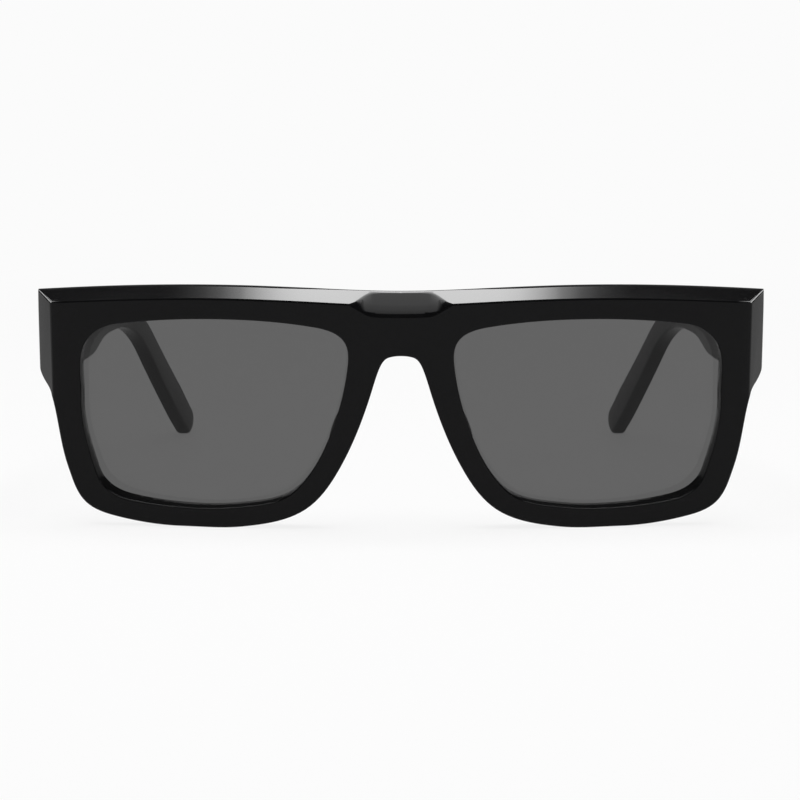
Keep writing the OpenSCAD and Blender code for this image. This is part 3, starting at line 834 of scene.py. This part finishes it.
# A right piece is copied with what the calls below gave the left one
for side in ("left", "right"):
    if side == "left":
        lens, pad, temple = lens_glass(), nose_pad(), temple_acetate()
    else:
        lens, pad, temple = mirrored_copy(lens), mirrored_copy(pad), mirrored_copy(temple)
    lens.name, pad.name, temple.name = "glass_" + side, "pad_" + side, "temple_acetate_" + side
    for piece, finish, body, cad, slot in (
        (lens, lens_grey, "front", "lens_" + side, "lens_tint"),
        (pad, pad_black, "front", "nose_pad_" + side, "pad_acetate"),
        (temple, front_black, "temple_" + side, "temple_" + side, "temple_acetate"),
    ):
        wear(piece, finish)
        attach(piece, body)
        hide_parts(cad)
    for cad in ("hinge_front_leaf_", "hinge_temple_leaf_", "core_wire_"):
        wear(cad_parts[cad + side], nickel_silver)
    wear(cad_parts["hinge_screw_" + side], turned_steel)

# ---------------------------------------------------------------- floor, lights and camera
bpy.ops.object.select_all(action="DESELECT")
bpy.ops.mesh.primitive_plane_add(size=16, location=(0, 0, 0))
floor = bpy.context.object
floor.name = "floor"
# A matt white table and wall: white to the eye and in reflections, and within half a metre of the
# glasses a little of it is left to the lamps, which keeps the shadow
made, tree = material("white table")
place = node(tree, "TexCoord")
far = node(tree, "VectorMath", {"operation": "LENGTH"}, {0: place.outputs["Object"]})
paint = node(tree, "BsdfDiffuse", {"Color": linear("#f8f8f8")})
glow = node(tree, "Emission", {"Color": linear("#fbfbfb"), "Strength": 1.0})
rays = node(tree, "LightPath")
seen = node(tree, "Math", {"operation": "MAXIMUM"},
            {0: rays.outputs["Is Camera Ray"], 1: rays.outputs["Is Glossy Ray"]})
seen = node(tree, "Math", {"operation": "MAXIMUM"},
            {0: seen.outputs[0], 1: rays.outputs["Is Transmission Ray"]})
share = node(tree, "MapRange", {"From Min": 0.12, "From Max": 0.5, "To Min": 0.88, "To Max": 1.0},
             {"Value": far.outputs["Value"]})
lift = node(tree, "Math", {"operation": "MULTIPLY"},
            {0: seen.outputs[0], 1: share.outputs["Result"]})
both = node(tree, "MixShader", links={0: lift.outputs[0], 1: paint.outputs[0], 2: glow.outputs[0]})
node(tree, "OutputMaterial", links={"Surface": both.outputs[0]})
wear(floor, made)
wall_r, wall_h = 7.5, 1.3
bpy.ops.mesh.primitive_cylinder_add(vertices=96, radius=wall_r, depth=wall_h,
                                    end_fill_type="NOTHING", location=(0, 0, wall_h / 2))
backdrop = bpy.context.object
backdrop.name = "backdrop"
bpy.ops.object.transform_apply(location=True, rotation=False, scale=False)
wear(backdrop, made)

world = bpy.data.worlds.new("studio")
bpy.context.scene.world = world
world.use_nodes = True
room_grey = (0.2, 0.2, 0.2, 1)
world.node_tree.nodes["Background"].inputs["Color"].default_value = room_grey


def softbox(name, place_mm, aim_mm, width, height, watts):
    """A rectangular lamp, aimed at a point, with its sides in millimetres."""
    bpy.ops.object.light_add(type="AREA", location=[v * MM for v in place_mm])
    lamp = bpy.context.object
    lamp.name = name
    lamp.data.shape = "RECTANGLE"
    lamp.data.size, lamp.data.size_y = width * MM, height * MM
    lamp.data.energy = watts
    aim = (Vector(aim_mm) - Vector(place_mm)).normalized()
    lamp.rotation_euler = aim.to_track_quat("-Z", "Y").to_euler()
    return lamp


def papered(lamp, across, upwards):
    """Puts a paper before a softbox that dims it by stops (place, share), across and upwards."""
    lamp.data.use_nodes = True
    tree = lamp.data.node_tree
    place = node(tree, "SeparateXYZ", links={0: node(tree, "NewGeometry").outputs["Parametric"]})
    both = node(tree, "Math", {"operation": "MULTIPLY"})
    for i, (way, stops) in enumerate((("X", across), ("Y", upwards))):
        paper = node(tree, "ValToRGB", links={"Fac": place.outputs[way]})
        drawn = paper.color_ramp.elements
        drawn.remove(drawn[-1])
        for k, (at, share) in enumerate(stops):
            stop = drawn[0] if k == 0 else drawn.new(at)
            stop.position, stop.color = at, (share, share, share, 1)
        tree.links.new(paper.outputs["Color"], both.inputs[i])
    tree.links.new(both.outputs[0], tree.nodes["Emission"].inputs["Strength"])


# The key softbox lights the glasses and isn't mirrored in them. The cards only show in their shine:
# one in the bevel of the brow, fading to both ends, one in the scoop, and two in the flanks
key = softbox("key_softbox", (0, -200, 1200), (0, -200, 0), 1200, 1200, 18)
key.visible_glossy = False
brow_card = softbox("brow_card", (0, 640, 1100), (0, 640, 0), 500, 440, 16.3)
fade = [(0, 0), (0.044, 0.015), (0.112, 0.044), (0.182, 0.12), (0.252, 0.33), (0.314, 0.63),
        (0.372, 0.87), (0.428, 0.97)]
papered(brow_card, fade + [(0.5, 1)] + [(1 - at, share) for at, share in reversed(fade)],
        [(0, 1), (0.4, 1), (0.79, 0.5), (1, 0.2)])
scoop_card = softbox("scoop_card", (0, -204, 1100), (0, -204, 0), 1700, 1248, 133)
papered(scoop_card, [(0, 0), (0.08, 1), (0.92, 1), (1, 0)],
        [(0, 0.135), (0.298, 0.2), (0.425, 0.275), (0.575, 0.425), (0.724, 0.6), (0.88, 0.85),
         (1, 1)])
side_cards = [softbox("side_card", (side * 900, 120, 640), (side * 71, -60, 45), 320, 320, 7)
              for side in (1, -1)]
for lamp in [brow_card, scoop_card] + side_cards:
    lamp.visible_diffuse = False

# The camera stands 750 mm before the front and looks a little down: its place, pitch and lens
view_mm, pitch, lens_mm, sensor_mm = (-0.2, -750 - MID_Y, 122.4), 82.7, 169.7, 36
bpy.ops.object.camera_add(location=[v * MM for v in view_mm], rotation=(math.radians(pitch), 0, 0))
camera = bpy.context.object
camera.data.lens = lens_mm
camera.data.sensor_width = sensor_mm
bpy.context.scene.camera = camera
bpy.context.scene.view_settings.view_transform = "Standard"
